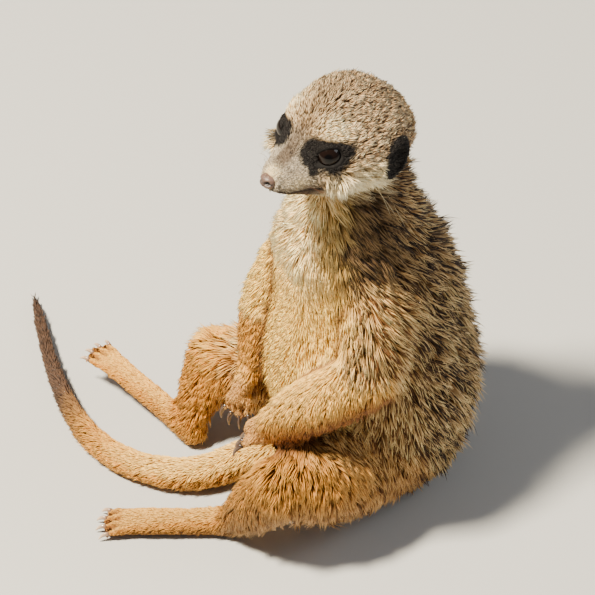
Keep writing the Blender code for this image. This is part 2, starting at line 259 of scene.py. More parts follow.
def near_eye(where, radius):
    """Places within a radius of either eye."""
    return np.linalg.norm(mirror(where) - EYE_CENTRE, axis=1) < radius


def on_face(where):
    """Places on the face or round an ear."""
    low, high = FACE_HEIGHTS
    face = (where[:, 1] < FACE_BACK) & (where[:, 2] > low) & (where[:, 2] < high)
    return face | (np.linalg.norm((mirror(where) - EAR_CENTRE) / EAR_FINE, axis=1) < 1)


toe_ends = in_head(np.concatenate([lines[:, 0] for lines in claw_lines.values()]))


def from_toes(where):
    """How far places in the head's frame are from the nearest root of a claw."""
    return np.min(np.linalg.norm(where[:, None] - toe_ends[None], axis=2), axis=1)


refine(skin.data, on_face)
refine(skin.data, lambda where: near_eye(where, EYE_FINE))
refine(skin.data, lambda where: from_toes(where) < TOE_FINE)


def mesh_arrays(mesh):
    """Places, normals and edges of a mesh as arrays."""
    count = len(mesh.vertices)
    co = np.empty(count * 3, np.float32)
    mesh.vertices.foreach_get("co", co)
    normals = np.empty(count * 3, np.float32)
    mesh.vertex_normals.foreach_get("vector", normals)
    ends = np.empty(len(mesh.edges) * 2, np.int32)
    mesh.edges.foreach_get("vertices", ends)
    return co.reshape(-1, 3).astype(float), normals.reshape(-1, 3).astype(float), ends.reshape(-1, 2)


def spread(values, ends, rounds, amount=0.5):
    """Even out values along the edges of a mesh; amount may differ from point to point."""
    count = len(values)
    flat = values.reshape(count, -1).copy()
    degree = np.maximum(np.bincount(ends.ravel(), minlength=count), 1)
    share = np.broadcast_to(np.asarray(amount, float).reshape(-1, 1), (count, 1))
    for _round in range(rounds):
        for column in range(flat.shape[1]):
            total = np.bincount(ends[:, 0], flat[ends[:, 1], column], count)
            total += np.bincount(ends[:, 1], flat[ends[:, 0], column], count)
            flat[:, column] += share[:, 0] * (total / degree - flat[:, column])
    return flat.reshape(values.shape)


# Which solid each point of the skin belongs to, as soft shares.
GROUPS = ("head", "ear", "neck", "trunk", "upper_arm", "forearm", "hand", "thigh", "shank", "foot", "tail")
all_points, all_tris, owners, rights = [], [], [], []
for name in flesh:
    mesh = frame["nodes"][name].data
    mesh.calc_loop_triangles()
    start = len(all_points)
    all_points.extend(v.co.copy() for v in mesh.vertices)
    all_tris.extend(tuple(start + i for i in tri.vertices) for tri in mesh.loop_triangles)
    group = next(i for i, word in enumerate(GROUPS) if name.startswith(word))
    owners.extend([group] * len(mesh.loop_triangles))
    rights.extend([float("right" in name)] * len(mesh.loop_triangles))
cad_surface = BVHTree.FromPolygons(all_points, all_tris)
owners = np.array(owners)

points, normals, ends = mesh_arrays(skin.data)
nearest = np.array([cad_surface.find_nearest(Vector(p))[2] for p in points])
shares = np.zeros((len(points), len(GROUPS)))
shares[np.arange(len(points)), owners[nearest]] = 1
shares = spread(shares, ends, rounds=8)
on_right = spread(np.array(rights)[nearest], ends, 8)
member = {word: shares[:, i] for i, word in enumerate(GROUPS)}

# Creases between the solids are smoothed away; small features keep their shape.
delicate = member["head"] + member["ear"] + member["hand"] + member["foot"]
SMOOTHING, CREASE_SMOOTHING = 4, 45
OFF_FLOOR, SUNK_OFF_FLOOR = 0.6, 0.5   # how far the hide stays above the floor
points = spread(points, ends, SMOOTHING, 0.5)
points = spread(points, ends, CREASE_SMOOTHING, 0.5 * (1 - step(delicate, 0.05, 0.6)))
points[:, 2] = np.maximum(points[:, 2], OFF_FLOOR * MM)


def write_points(mesh, new_points):
    """Move the points of a mesh and read its normals again."""
    mesh.vertices.foreach_set("co", new_points.astype(np.float32).ravel())
    mesh.update()
    return mesh_arrays(mesh)[1]


normals = write_points(skin.data, points)

# ---- lie and measure of the coat, worked out at every point of the skin
# Length, lift, half width, tufts per square millimetre and clumping of each region.
REGION_COAT = {
    "head": (3.9, 23, 0.30, 3.1, 0.30),
    "ear": (1.3, 24, 0.22, 6.0, 0.1),
    "neck": (8.5, 18, 0.35, 1.45, 0.4),
    "trunk": (7.0, 12, 0.31, 1.38, 0.3),
    "upper_arm": (7.5, 16, 0.34, 1.4, 0.35),
    "forearm": (5.5, 15, 0.33, 1.9, 0.35),
    "hand": (2.2, 14, 0.26, 4.0, 0.2),
    "thigh": (9.0, 21, 0.36, 1.14, 0.5),
    "shank": (6.5, 21, 0.34, 1.7, 0.45),
    "foot": (2.6, 14, 0.28, 3.0, 0.2),
    "tail": (4.4, 13, 0.33, 2.0, 0.25),
}
measures = shares @ np.array([REGION_COAT[word] for word in GROUPS])
length, lift, half_width, density, clumping = measures.T.copy()
head = in_head(points)
folded = mirror(head)
side = folded[:, 0]
body = points / MM
on_head, on_ear = member["head"], member["ear"]
on_body = member["trunk"] + member["neck"]
upper = np.clip(on_body + member["upper_arm"], 0, 1)

# Angle round the trunk, in degrees: 0 in front, 90 on the animal's left, -90 on its right.
round_body = np.degrees(np.arctan2(body[:, 0] + 3, 1 - body[:, 1]))
wave = np.sin(body[:, 2] * 0.21 + body[:, 0] * 0.1) + np.sin(body[:, 2] * 0.53 + body[:, 1] * 0.2)
edge_angle = np.abs(round_body + 6 + 2.0 * wave)
backside = upper * step(edge_angle, 38, 56)
far_back = upper * step(edge_angle, 60, 105)
clumping -= 0.18 * member["trunk"] * (1 - backside)
shaggy = backside * step(body[:, 2], 8, 35) * (1 - 0.5 * step(body[:, 2], 140, 180))
length += 3.0 * shaggy + 2.5 * far_back * step(body[:, 2], 8, 35) * (1 - step(body[:, 2], 150, 185))
lift += 9 * shaggy + 7 * far_back
clumping += 0.15 * shaggy
density -= 0.45 * shaggy

# The face is short and the cheeks are long and loose. Hair stops short of eyes and ears.
EAR_MIDDLE, EAR_HALF = (25, 0.3, -3.6), (5.2, 7.9, 10.4)
CHEEK_TUFT, CHEEK_TUFT_REACH = (19.5, -28.0, -4.6), 6.5
MUZZLE_LENGTH, CHEEK_LENGTH, TUFT_LENGTH, LID_LENGTH, BY_EAR_LENGTH = 1.5, 8.5, 7.5, 1.3, 1.8
ear_reach = np.linalg.norm((folded - EAR_MIDDLE) / EAR_HALF, axis=1)
by_ear = (on_head + on_ear + member["neck"]) * (1 - step(ear_reach, 1.0, 1.5))
muzzle = on_head * (1 - step(head[:, 1], -38, -24))
cheek = on_head * step(side, 12, 19) * step(head[:, 1], -30, -20) * (1 - step(head[:, 2], -8, 1))
throat = (on_head + member["neck"]) * (1 - step(head[:, 2], -22, -13)) * (1 - step(head[:, 1], -6, 10))
from_tuft = np.linalg.norm(folded - CHEEK_TUFT, axis=1)
zygoma = on_head * np.exp(-2 * (from_tuft / CHEEK_TUFT_REACH) ** 2)
length += muzzle * (MUZZLE_LENGTH - length) + cheek * (CHEEK_LENGTH - length) + throat * 1.5
length += np.clip(zygoma * 1.6, 0, 1) * (TUFT_LENGTH - length)
lift += muzzle * (15 - lift) + cheek * (23 - lift) + zygoma * 42
density += muzzle * (7.5 - density) - cheek * 0.4
half_width += muzzle * (0.20 - half_width)
clumping += cheek * 0.25
from_eye = np.linalg.norm(folded - EYE_CENTRE, axis=1)
round_eye = on_head * (1 - step(from_eye, 6.5, 10))
length += round_eye * (LID_LENGTH - length) + by_ear * (BY_EAR_LENGTH - length)
half_width += round_eye * (0.2 - half_width)
density += round_eye * (6 - density)
length *= 1 - 0.45 * member["foot"] * np.exp(-(from_toes(head) / 9) ** 2)
length = spread(length, ends, rounds=10)
lift = spread(lift, ends, rounds=12)

# The skin sinks under the solids by as much as the coat stands up.
depth = length * np.sin(np.radians(lift)) * 0.9 * MM + JOIN_GROWTH
depth *= (1 - 0.7 * on_ear) * (1 - 0.66 * np.clip(zygoma * 1.3, 0, 1))
depth = spread(depth, ends, rounds=16)
points -= normals * depth[:, None]
points = spread(points, ends, rounds=3, amount=0.4)
points[:, 2] = np.maximum(points[:, 2], SUNK_OFF_FLOOR * MM)

# Relief of the face, in the head's frame in millimetres: brows and the valley between
# them, cheekbones, whisker pads, the line of the closed mouth, the cup of each ear.
folded = mirror(in_head(points))
MOUTH = (
    (0, -48.4, -11.2),
    (4, -46.2, -11.8),
    (8.2, -41.5, -11.8),
    (11.6, -36, -11.4),
    (14.6, -30.5, -10.2),
)
LIP_DEPTH, LIP_WIDTH = 0.9, 0.75
# Place, radius and height of each mound of the face.
BROW = (11.5, -25.0, 13.5), 8.0, 2.6
BROW_VALLEY = (0.0, -27.0, 12.0), 5.0, -0.9
CHEEKBONE = (20.5, -26.5, -4.5), 7.5, 3.4
WHISKER_PAD = (7.5, -42.0, -8.5), 5.5, 0.9
NOSE_CENTRE = (0.0, -48.6, -6.8)
NOSE_HOLLOW = (3.9, 3.2, 3.0)  # half sizes of the hollow that takes the nose pad
NOSE_HOLLOW_DEPTH = 2.6
EAR_CUP, EAR_CUP_HALF, EAR_CUP_DEPTH = (28.5, -1.8, -3.5), (9, 4.3, 6.5), 2.6
TOE_GAP_DEPTH = 1.1
PAW_REACH = 13                 # the gaps between toes stay within this of their roots


def bump(centre, radius, height):
    """A soft mound on both sides of the face."""
    reach = np.linalg.norm(folded - centre, axis=1) / radius
    return height * np.exp(-2 * reach * reach)


def lip_distance(where):
    """How far places are from the line of the closed mouth."""
    best = np.full(len(where), 1e9)
    for a, b in zip(MOUTH[:-1], MOUTH[1:]):
        a, b = np.array(a, float), np.array(b, float)
        share = np.clip((where - a) @ (b - a) / ((b - a) @ (b - a)), 0, 1)
        best = np.minimum(best, np.linalg.norm(where - a - share[:, None] * (b - a), axis=1))
    return best


relief = bump(*BROW) + bump(*BROW_VALLEY)
relief += bump(*CHEEKBONE) + bump(*WHISKER_PAD)
pad_reach = np.linalg.norm((folded - NOSE_CENTRE) / NOSE_HOLLOW, axis=1)
in_pad = 1 - step(pad_reach, 0.95, 1.35)
lip = lip_distance(folded)
relief -= LIP_DEPTH * np.exp(-(lip / LIP_WIDTH) ** 2)
relief -= NOSE_HOLLOW_DEPTH * in_pad
relief *= step(on_head, 0.1, 0.5)
in_cup = np.linalg.norm((folded - EAR_CUP) / EAR_CUP_HALF, axis=1)
relief -= EAR_CUP_DEPTH * np.exp(-2 * in_cup ** 2) * step(on_ear, 0.2, 0.7)
normals = write_points(skin.data, points)
toe_gap = np.zeros(len(points))
for lines in claw_lines.values():
    way = unit(np.mean(lines[:, 1] - lines[:, 0], axis=0)[None])[0]
    across = lines[3, 0] - lines[0, 0]
    spacing = np.linalg.norm(across) / 3
    ahead = (points - lines[:, 0].mean(axis=0)) @ way / MM
    place = (points - lines[:, 0].mean(axis=0)) @ unit(across[None])[0] / spacing + 1.5
    close = np.linalg.norm(points - lines[:, 0].mean(axis=0), axis=1) < PAW_REACH * MM
    between = (0.5 - 0.5 * np.cos(2 * np.pi * place)) * (np.abs(place - 1.5) < 1.5)
    toe_gap = np.maximum(toe_gap, between * step(ahead, -8, -3) * (1 - step(ahead, 5, 8)) * close)
relief -= TOE_GAP_DEPTH * toe_gap
points += normals * relief[:, None] * MM

# The lids: skin drawn over the front of each eyeball, with a slanted almond opening.
EYE_AXIS = (0.70, -0.69, 0.20)
OUTER_CORNER = (0.70, 0.68, 0.30)   # the way from the middle of the eye to this corner
LID_OPENING = (5.2, 3.45)      # half width and half height
LID_RAISE = 0.55               # thickness of the lids
LID_ROLL = 0.25                # the rounded edge of the lids stands out this much more
LID_REACH = 10                 # the lids blend into the face within this radius
LID_EDGE = (0.94, 1.06)        # where the opening ends, as shares of its size
BARE_EDGE = (1.08, 1.18)       # where the bare edge of the lids ends and hair begins
EYE_SOCKET = 0.9               # inside the opening the hide lies this far under the ball
axis = np.array(EYE_AXIS) / np.linalg.norm(EYE_AXIS)
outer = np.array(OUTER_CORNER)
outer -= axis * (outer @ axis)
outer /= np.linalg.norm(outer)
above_eye = np.cross(outer, axis)
above_eye *= np.sign(above_eye[2])
head = in_head(points)
folded = mirror(head)
from_ball = folded - EYE_CENTRE
ball_reach = np.linalg.norm(from_ball, axis=1)
heading = from_ball / ball_reach[:, None]
facing_out = heading @ axis
along = heading @ outer * EYE_BALL
over = heading @ above_eye * EYE_BALL
opening = np.hypot(along / LID_OPENING[0], over / LID_OPENING[1])
lid = step(facing_out, 0.25, 0.6) * (ball_reach < LID_REACH)
inside = 1 - step(opening, *LID_EDGE)
covered = np.maximum(ball_reach, EYE_BALL + LID_RAISE)
covered += LID_ROLL * np.exp(-((opening - 1.12) / 0.12) ** 2)
new_reach = covered * (1 - inside) + (EYE_BALL - EYE_SOCKET) * inside
ball_reach_new = ball_reach + lid * (new_reach - ball_reach)
folded = np.array(EYE_CENTRE) + heading * ball_reach_new[:, None]
moved = folded * np.where(head[:, :1] < 0, (-1, 1, 1), (1, 1, 1))
points += (moved - head) @ spin.T * MM
normals = write_points(skin.data, points)
bald = np.maximum(lid * (1 - step(opening, *BARE_EDGE)), in_pad)

# ---- which way the hair lies: away from the nose, over the skin, to paws and tail tip
run = np.full(len(points), np.inf)
first = int(np.argmin(np.linalg.norm(in_head(points) - (0, -50, -5), axis=1)))
neighbours = [[] for _point in points]
spans = np.linalg.norm(points[ends[:, 0]] - points[ends[:, 1]], axis=1)
for (a, b), span in zip(ends.tolist(), spans.tolist()):
    neighbours[a].append((b, span))
    neighbours[b].append((a, span))
run[first] = 0
front = [(0.0, first)]
while front:
    so_far, here = heapq.heappop(front)
    if so_far > run[here]:
        continue
    for there, span in neighbours[here]:
        if so_far + span < run[there]:
            run[there] = so_far + span
            heapq.heappush(front, (so_far + span, there))
run[~np.isfinite(run)] = run[np.isfinite(run)].max()
run = spread(run, ends, rounds=40)
step_ways = points[ends[:, 1]] - points[ends[:, 0]]
slopes = (run[ends[:, 1]] - run[ends[:, 0]]) / np.maximum(spans, 1e-9) ** 2
lie = np.zeros_like(points)
for i in range(3):
    pull = step_ways[:, i] * slopes
    lie[:, i] = np.bincount(ends[:, 0], pull, len(points)) + np.bincount(ends[:, 1], pull, len(points))
lie = unit(lie)
CHEEK_WAY, TUFT_WAY, LIMB_WAY = (0.0, 0.55, -0.9), (0.0, -0.25, -1.0), (0.1, 0.0, -0.8)
cheek_way = spin @ np.array(CHEEK_WAY)
lie += cheek[:, None] * 1.4 * cheek_way + zygoma[:, None] * 2 * (spin @ np.array(TUFT_WAY))
limbs = member["shank"] + member["thigh"] * 0.6 + member["forearm"] * 0.35
lie += limbs[:, None] * np.array(LIMB_WAY)
lie -= normals * np.sum(lie * normals, axis=1)[:, None]
lie = unit(spread(unit(lie), ends, rounds=10))
lie = unit(lie - normals * np.sum(lie * normals, axis=1)[:, None])

# ---- markings and painted light and shade: colour of the hair at its root, half way and at its tip
# Each is a share at a place on the animal. A step's two numbers are where a colour starts
# and where it is full, in millimetres, in degrees round the body or in how far the hide
# faces up.


def tone(red, green, blue):
    """A colour seen as 0 to 255 on a screen, as light."""
    seen = np.array((red, green, blue)) / 255
    return np.where(seen > 0.04045, ((seen + 0.055) / 1.055) ** 2.4, seen / 12.92)


CROWN = tone(60, 38, 20), tone(172, 134, 92), tone(255, 232, 190)
LIGHT_GRIZZLE = tone(112, 70, 26), tone(212, 164, 92), tone(255, 226, 164)
GRIZZLED = tone(36, 18, 7), tone(152, 106, 54), tone(255, 224, 166)
GOLDEN = tone(128, 72, 20), tone(202, 134, 46), tone(244, 188, 88)
# Gold painted darker, as painted shade on the legs.
SHADED_GOLD = tone(80, 44, 12), tone(148, 96, 34), tone(204, 146, 64)
CREAM = tone(226, 168, 76), tone(250, 206, 106), tone(255, 224, 144)
WHITE = tone(206, 168, 112), tone(248, 226, 176), tone(255, 248, 216)
MUZZLE = tone(66, 54, 42), tone(156, 140, 118), tone(222, 210, 188)
LIP = tone(34, 24, 18), tone(84, 66, 50), tone(126, 106, 84)
BLACK = tone(8, 6, 5), tone(16, 11, 9), tone(32, 24, 20)
UMBER = tone(58, 28, 8), tone(116, 66, 24), tone(168, 108, 50)
NAPE = tone(34, 20, 10), tone(86, 62, 36), tone(156, 126, 84)
TAIL_END = tone(30, 19, 13), tone(76, 52, 37), tone(116, 90, 70)
PAW = tone(140, 90, 44), tone(206, 150, 80), tone(240, 194, 124)
REGION_TONES = {
    "head": CROWN, "ear": BLACK, "neck": NAPE, "trunk": GRIZZLED, "upper_arm": GRIZZLED,
    "forearm": GOLDEN, "hand": PAW, "thigh": GOLDEN, "shank": GOLDEN, "foot": GOLDEN, "tail": GOLDEN,
}
palette = np.array([REGION_TONES[word] for word in GROUPS])
tones = np.einsum("vg,gtc->vtc", shares, palette)


def paint_markings_and_light(colours, share):
    """Blend a set of three tones into the coat by a share at each point, for markings and for painted light
    and shade.
    """
    tones[:] = tones + (np.array(colours)[None] - tones) * np.clip(share, 0, 1)[:, None, None]


# Body: a cream front and a white bib, grizzled sides and back, and a dark nape and left side of the neck,
# partly their own brown and partly the head's shadow painted in.
mottle = np.sin(body[:, 0] * 0.31 + 2.1 * np.sin(body[:, 2] * 0.17))
mottle *= np.sin(body[:, 1] * 0.27 + body[:, 2] * 0.21)
paint_markings_and_light(LIGHT_GRIZZLE, (member["trunk"] + member["upper_arm"]) * (1 - far_back) * 0.8)
paint_markings_and_light(CREAM, upper * (1 - step(edge_angle, 38, 52)))
bib = on_body * step(body[:, 2] + 3 * mottle, 112, 165) + 0.7 * on_head * (1 - step(head[:, 2], -20, -14))
paint_markings_and_light(WHITE, bib * (1 - step(np.abs(round_body + 16) + 5 * mottle, 26, 46)) * 0.7)
# The left side of the neck and nape dark brown: partly the neck's own colour, partly painted shadow of the
# head.
paint_markings_and_light(NAPE, on_body * step(round_body + 5 * mottle, 12, 34) * step(body[:, 2] + 3 * mottle, 128, 160))
paint_markings_and_light(GRIZZLED, member["neck"] * far_back)
# Limbs: golden, paler above as painted light and umber below as painted shade, and grizzled on the outside
# of the left thigh.
# Painted light and shade on the forearms: cream where they face up, umber where they face down.
paint_markings_and_light(CREAM, member["forearm"] * step(normals[:, 2], -0.1, 0.8) * 0.6)
paint_markings_and_light(UMBER, member["forearm"] * (1 - step(normals[:, 2] + 0.25 * on_right, -0.35, 0.6)))
from_middle = np.hypot(body[:, 0] + 3, body[:, 1] - 3)
thigh_back = member["thigh"] * (1 - step(from_middle + 4 * mottle, 50, 76))
paint_markings_and_light(LIGHT_GRIZZLE, thigh_back)
leg = member["thigh"] + member["shank"] + member["foot"]
# Painted shade: a darker gold where the legs face down, mostly on the left legs.
paint_markings_and_light(SHADED_GOLD, leg * (1 - step(normals[:, 2], -0.5, 0.75)) * (1 - 0.75 * on_right))
# The undersides of the left thigh and shank: grizzled like their hair, and umber as painted shade.
shaded_left_leg_underside = (member["thigh"] + member["shank"]) * (1 - step(normals[:, 2], -0.5, 0.65)) * (1 - on_right)
# Painted shade: the left legs, on the near side, a darker gold all over.
paint_markings_and_light(SHADED_GOLD, leg * (1 - on_right) * 0.5)
paint_markings_and_light(GRIZZLED, shaded_left_leg_underside * 0.6)
paint_markings_and_light(UMBER, shaded_left_leg_underside * 0.35)
# Painted light: paler where the shanks and feet face up.
paint_markings_and_light(CREAM, (member["shank"] + member["foot"]) * step(normals[:, 2], 0.55, 0.98) * 0.3)
arm = member["upper_arm"] + member["forearm"] + member["hand"]
# Painted shade: umber in the creases where the arms meet the trunk and the thighs.
crease_shade = 4 * arm * (member["trunk"] + member["thigh"])
paint_markings_and_light(UMBER, crease_shade * 0.9 * (1 - backside))
# Painted shade: umber in the gaps between the toes.
paint_markings_and_light(UMBER, toe_gap * 0.8)
# Tail: cream above near the root as painted light, grey-brown and at last black towards the tip.
# Painted light: cream where the tail faces up near its root.
paint_markings_and_light(CREAM, member["tail"] * step(normals[:, 2], 0.1, 0.8) * step(body[:, 0], -80, -30) * 0.7)
paint_markings_and_light(TAIL_END, member["tail"] * (1 - step(body[:, 0] + 3 * mottle, -112, -62)))
paint_markings_and_light(BLACK, member["tail"] * (1 - step(body[:, 0], -178, -160)) * 0.4)

# Head: pale brows and cheeks, a darker nape and middle of the brow, a grey muzzle.
x, y, z = folded.T
below_ear = step(y, 2, 8) * (1 - step(z, -6, 4)) * step(x, 12, 18) * step(z, -26, -18)
paint_markings_and_light(UMBER, (on_head + member["neck"]) * 0.7 * below_ear)
paint_markings_and_light(WHITE, on_head * np.exp(-2 * (((x - 13.5) / 7.5) ** 2 + ((y + 24) / 7.5) ** 2 + ((z - 14) / 6) ** 2)))
paint_markings_and_light(GRIZZLED, on_head * step(y, 4, 18) * (1 - step(z, 2, 22)) * 0.8)
paint_markings_and_light(NAPE, on_head * np.exp(-((x / 5.0) ** 2)) * step(z, 3, 9) * (1 - step(y, -20, -2)) * 0.6)
paint_markings_and_light(MUZZLE, on_head * (1 - step(y, -36, -28)))
paint_markings_and_light(LIP, on_head * (1 - step(y, -36, -24)) * (1 - step(x, 1.8, 5.0)) * step(z, -4, 1) * 0.85)
paint_markings_and_light(WHITE, on_head * (1 - step(z, -18, -14)) * (1 - step(y, 2, 10)) * step(y, -36, -28))
pale_cheek = step(x, 12, 17) * (1 - step(z, -5, 1)) * step(y, -34, -27) * (1 - step(y, -8, 4))
paint_markings_and_light(WHITE, on_head * pale_cheek * 0.9)
paint_markings_and_light(WHITE, on_head * np.exp(-2 * (((x - 9) / 3.5) ** 2 + ((y + 39) / 7) ** 2 + ((z + 7.0) / 4) ** 2)) * 0.6)
# Painted highlight: a white spot on top of the muzzle just above the nose pad.
paint_markings_and_light(WHITE, on_head * np.exp(-2 * ((x / 4.5) ** 2 + ((y + 46.5) / 3.4) ** 2 + ((z + 3.0) / 2.6) ** 2)) * 0.9)
paint_markings_and_light(LIP, on_head * (1 - step(y, -36, -29)) * (1 - step(z, -12.0, -9.2)))
# Black patches round the eyes, with a point at the inner corner, black lips and ears.
slant = (x - 13.2) * 0.72 + (y + 28.6) * 0.69
above = z - 4.6 - 0.05 * slant
patch = 1 - step(np.hypot(slant / 12.4, above / 6.4) + 0.02 * mottle, 0.86, 1.06)
tear = 1 - step(np.hypot((slant + 5.5) / 2.6, (z + 0.8) / 3.6), 0.7, 1.1)
patch = np.maximum(patch, tear)
patch *= on_head * step(x, 3.0, 4.6) * (1 - 0.95 * step(zygoma, 0.2, 0.5))
paint_markings_and_light(BLACK, np.maximum(patch, lid * (1 - step(opening, 1.4, 1.8))))
paint_markings_and_light(LIP, on_head * (1 - step(lip, 1.2, 3.2)) * 0.8)
paint_markings_and_light(BLACK, on_head * (1 - step(lip, 0.7, 1.6)) * 0.85)
paint_markings_and_light(BLACK, by_ear * (1 - step(ear_reach, 1.0, 1.12)) + on_ear)
length *= 1 - 0.6 * on_head * (1 - step(lip, 0.8, 2.0))

# ---- what the hide looks like between the hairs: dark, dull and slightly uneven


def colour_attribute(mesh, name, values):
    """Store one colour for each point of a mesh."""
    attribute = mesh.color_attributes.new(name, "FLOAT_COLOR", "POINT")
    rgba = np.ones((len(values), 4), np.float32)
    rgba[:, :3] = values
    attribute.data.foreach_set("color", rgba.ravel())


def uneven_group():
    """A shader group that makes a colour a little uneven and gives a fine relief."""
    group = bpy.data.node_groups.new("uneven", "ShaderNodeTree")
    inputs = {"Color": "NodeSocketColor", "Scale": "NodeSocketFloat", "Amount": "NodeSocketFloat"}
    for socket, kind in inputs.items():
        group.interface.new_socket(socket, in_out="INPUT", socket_type=kind)
    group.interface.new_socket("Color", in_out="OUTPUT", socket_type="NodeSocketColor")
    group.interface.new_socket("Height", in_out="OUTPUT", socket_type="NodeSocketFloat")
    nodes, links = group.nodes, group.links
    given, made = nodes.new("NodeGroupInput"), nodes.new("NodeGroupOutput")
    place = nodes.new("ShaderNodeTexCoord")
    noise = nodes.new("ShaderNodeTexNoise")
    noise.inputs["Detail"].default_value = 3
    links.new(place.outputs["Object"], noise.inputs["Vector"])
    links.new(given.outputs["Scale"], noise.inputs["Scale"])
    centred = nodes.new("ShaderNodeMath")
    centred.operation = "SUBTRACT"
    centred.inputs[1].default_value = 0.5
    links.new(noise.outputs["Fac"], centred.inputs[0])
    scaled = nodes.new("ShaderNodeMath")
    scaled.operation = "MULTIPLY_ADD"
    scaled.inputs[2].default_value = 1.0
    links.new(centred.outputs[0], scaled.inputs[0])
    links.new(given.outputs["Amount"], scaled.inputs[1])
    shaded = nodes.new("ShaderNodeVectorMath")
    shaded.operation = "SCALE"
    links.new(given.outputs["Color"], shaded.inputs[0])
    links.new(scaled.outputs[0], shaded.inputs["Scale"])
    links.new(shaded.outputs[0], made.inputs["Color"])
    links.new(noise.outputs["Fac"], made.inputs["Height"])
    return group


uneven = uneven_group()


def add_uneven(tree, scale, amount):
    """The uneven group as a node of a material."""
    node = tree.nodes.new("ShaderNodeGroup")
    node.node_tree = uneven
    node.inputs["Scale"].default_value = scale
    node.inputs["Amount"].default_value = amount
    return node


def add_relief(tree, shader, height, distance, strength):
    """Bump of a height on a shader."""
    bump_node = tree.nodes.new("ShaderNodeBump")
    bump_node.inputs["Distance"].default_value = distance
    bump_node.inputs["Strength"].default_value = strength
    tree.links.new(height, bump_node.inputs["Height"])
    tree.links.new(bump_node.outputs["Normal"], shader.inputs["Normal"])


def coat_material(name, roughness, scale, amount):
    """Hair or hide that takes its colour from the Coat attribute."""
    material, tree, shader = make_material(name, (0.5, 0.4, 0.3), roughness)
    colour = tree.nodes.new("ShaderNodeAttribute")
    colour.attribute_name = "Coat"
    patchy = add_uneven(tree, scale, amount)
    tree.links.new(colour.outputs["Color"], patchy.inputs["Color"])
    tree.links.new(patchy.outputs["Color"], shader.inputs["Base Color"])
    return material, tree, shader, patchy


hide_material, tree, shader, patchy = coat_material("hide", roughness=0.75, scale=900, amount=0.7)
shader.inputs["Specular IOR Level"].default_value = 0.15
add_relief(tree, shader, patchy.outputs["Height"], distance=0.3 * MM, strength=0.6)
hair_material, _tree, shader, _patchy = coat_material("hair", roughness=0.6, scale=260, amount=0.4)
shader.inputs["Specular IOR Level"].default_value = 0.3

hide_tone = tones[:, 0] * 0.45 + tones[:, 1] * 0.4
hide_tone += (tone(12, 9, 8) - hide_tone) * (lid * (1 - step(opening, 1.4, 1.8)))[:, None]
colour_attribute(skin.data, "Coat", hide_tone)
skin.data.materials.clear()
skin.data.materials.append(hide_material)
skin.data.shade_smooth()
clear_selection()
skin.select_set(True)
bpy.context.view_layer.objects.active = skin
skin.data.uv_layers.new(name="OFBake")
bpy.ops.object.mode_set(mode="EDIT")
bpy.ops.mesh.select_all(action="SELECT")
bpy.ops.uv.smart_project(angle_limit=math.radians(70), island_margin=0.002)
bpy.ops.object.mode_set(mode="OBJECT")
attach(skin, "root")
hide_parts(*flesh)

# ---------------------------------------------------------------- eyes
# Two blown glass balls, near-black brown with a faint iris painted round the pupil. Each
# is set into its socket from behind, and the lids of the hide lie over its front.
eye_material, tree, shader = make_material("eye_glass", (0.010, 0.006, 0.004), roughness=0.07)
shader.inputs["Specular IOR Level"].default_value = 0.22
colour = tree.nodes.new("ShaderNodeAttribute")
colour.attribute_name = "Coat"
tree.links.new(colour.outputs["Color"], shader.inputs["Base Color"])
IRIS = tone(17, 9, 6)
PUPIL = tone(4, 3, 3)
IRIS_EDGE = (0.66, 0.72)       # where the iris begins and ends, as shares of the radius
PUPIL_EDGE = (0.93, 0.96)
for side_name, sign in (("left", 1), ("right", -1)):
    clear_selection()
    bpy.ops.mesh.primitive_uv_sphere_add(segments=40, ring_count=24, radius=EYE_BALL * MM)
    eye = bpy.context.object
    eye.name = f"eyeball_{side_name}"
    looking = HEAD_SPIN @ Vector((sign * axis[0], axis[1], axis[2]))
    placing = looking.to_track_quat("Z", "Y").to_matrix().to_4x4()
    placing.translation = from_head((sign * EYE_CENTRE[0], EYE_CENTRE[1], EYE_CENTRE[2]))
    front_share = np.array([v.co.z for v in eye.data.vertices]) / (EYE_BALL * MM)
    ring = step(front_share, *IRIS_EDGE) * (1 - step(front_share, *PUPIL_EDGE))
    colour_attribute(eye.data, "Coat", PUPIL + (IRIS - PUPIL) * ring[:, None])
    eye.data.transform(placing)
    eye.data.shade_smooth()
    eye.data.materials.append(eye_material)
    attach(eye, "root")
    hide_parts(f"eye_{side_name}")

# ---------------------------------------------------------------- nose
# The bare pad: a blunt, slightly grooved cushion of pinkish-grey skin with two nostrils,
# modelled in wax and set into the front of the muzzle.
NOSE_HALF = (3.9, 3.1, 3.0)
BLUNTNESS = 0.86
NOSTRIL_DEPTH, SLIT_DEPTH, GROOVE_DEPTH = 2.0, 0.9, 0.5
NOSTRIL, NOSTRIL_HALF = (1.8, 0.3), (1.1, 0.85)   # places and half sizes: aside and up
SLIT, SLIT_HALF = (3.1, -0.1), (1.0, 0.5)
GROOVE_HALF = 0.4
clear_selection()
bpy.ops.mesh.primitive_ico_sphere_add(subdivisions=5, radius=1)
nose = bpy.context.object
nose.name = "nose_pad"
ball = np.array([v.co[:] for v in nose.data.vertices])
ball = np.sign(ball) * np.abs(ball) ** BLUNTNESS
pad = ball * NOSE_HALF
nx, ny, nz = np.abs(pad[:, 0]), pad[:, 1], pad[:, 2]
in_front = step(-ny, 0.2, 1.4)
aside = nx - NOSTRIL[0]
raised = nz - NOSTRIL[1] - 0.35 * aside
nostril = np.exp(-((aside / NOSTRIL_HALF[0]) ** 2 + (raised / NOSTRIL_HALF[1]) ** 2)) * in_front
slit = np.exp(-((nx - SLIT[0]) / SLIT_HALF[0]) ** 2 - ((nz - SLIT[1]) / SLIT_HALF[1]) ** 2) * in_front
groove = np.exp(-(nx / GROOVE_HALF) ** 2) * (1 - step(nz, -1.0, 0.8)) * in_front
